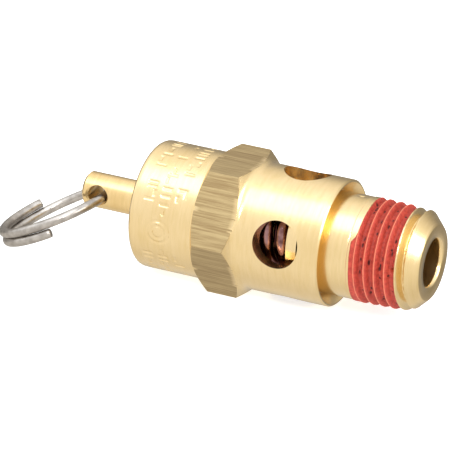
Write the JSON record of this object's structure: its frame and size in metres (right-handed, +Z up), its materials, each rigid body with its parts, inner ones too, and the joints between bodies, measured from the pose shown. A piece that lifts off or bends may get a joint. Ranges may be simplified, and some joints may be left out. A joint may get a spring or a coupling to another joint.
{
  "type": "pressure relief valve",
  "caption": "Brass safety relief valve with a pipe-threaded inlet, side vents, a hexagon for the wrench and a pull ring that lifts its spring-loaded seat for testing.",
  "frame": {"origin": "centre of the inlet end face, on the valve's axis", "axes": "+X out of the inlet along the valve's axis, +Z up with the valve lying on a flat of its hexagon, -Y on the side that shows a vent"},
  "size_m": [0.0619, 0.0202, 0.0174],
  "materials": {
    "body_brass": "fine turned brass, duller drawn flats on the hexagon",
    "nozzle_brass": "turned brass with a bright cut thread",
    "sealant": "dried red thread sealant with pores",
    "seat_rubber": "moulded soft seat",
    "holder_brass": "bright turned brass",
    "stem_brass": "polished drawn brass rod",
    "spring_steel": "dark oiled spring wire",
    "washer_brass": "turned brass",
    "screw_brass": "turned brass",
    "ring_steel": "bright drawn steel wire"
  },
  "bodies": {
    "valve": {"valve_body": "body_brass", "inlet_nozzle": "nozzle_brass", "thread_sealant": "sealant", "adjusting_screw": "screw_brass", "spring_washer": "washer_brass", "spring": "spring_steel"},
    "stem": {"stem": "stem_brass", "disc_holder": "holder_brass", "seat_disc": "seat_rubber"},
    "ring": {"pull_ring": "ring_steel"}
  },
  "joints": [
    {"name": "lift", "type": "slide", "parent": "valve", "child": "stem", "axis": [-1, 0, 0], "range_m": [0, 0.0015], "stiffness_N_per_m": 20000, "springref_m": -0.0005, "deforming": ["spring"]},
    {"name": "ring_swing", "type": "hinge", "parent": "stem", "child": "ring", "pos_m": [-0.04775, 0, 0], "axis": [0, -0.9952, 0.0976], "range_deg": [-140, 85]}
  ]
}
